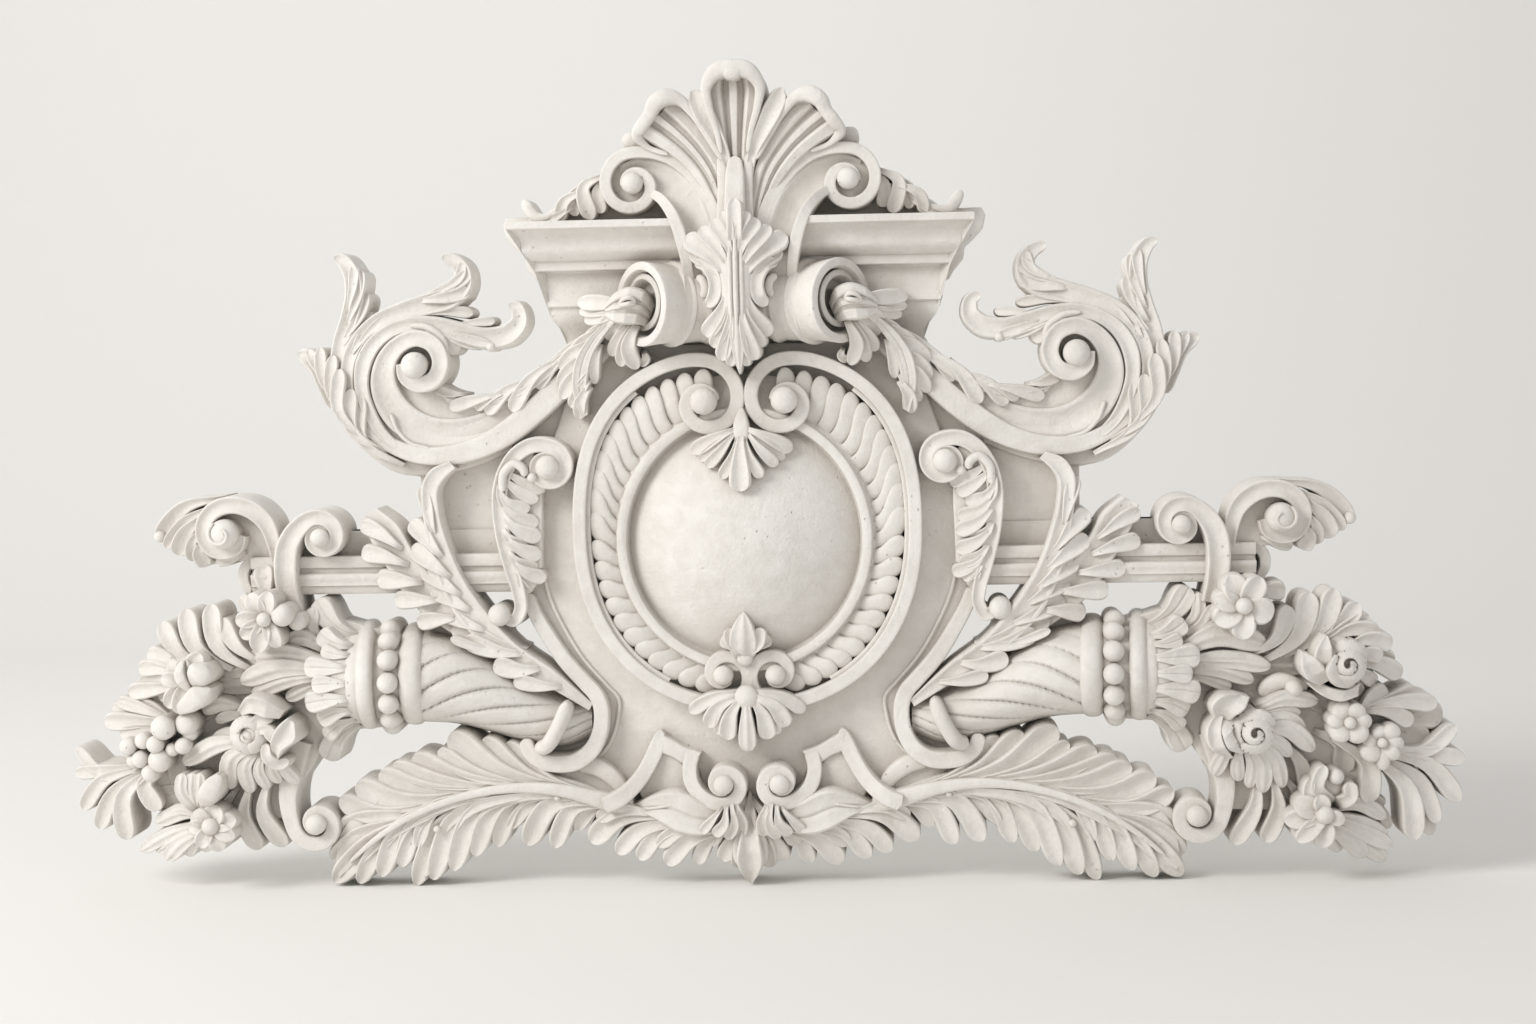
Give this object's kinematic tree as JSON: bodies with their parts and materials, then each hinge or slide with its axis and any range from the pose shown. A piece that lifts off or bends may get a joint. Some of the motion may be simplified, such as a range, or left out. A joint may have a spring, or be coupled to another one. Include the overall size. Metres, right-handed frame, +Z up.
{
  "type": "overdoor pediment applique",
  "caption": "Cast plaster overdoor crest: an oval cartouche under a shell crest and broken cornice, flanked by scrolls, leafy branches and cornucopias.",
  "frame": {"origin": "on the flat back face, behind the middle of the oval cartouche", "axes": "+X to the viewer's right along the rail, +Y out of the flat back into the wall, +Z up; the carving faces -Y"},
  "size_m": [1.4221, 0.1203, 0.8239],
  "materials": {
    "plaster": "matt white casting plaster, fine pits and faint warm grey mottling"
  },
  "bodies": {
    "root": {"pediment_applique": "plaster"}
  },
  "joints": []
}
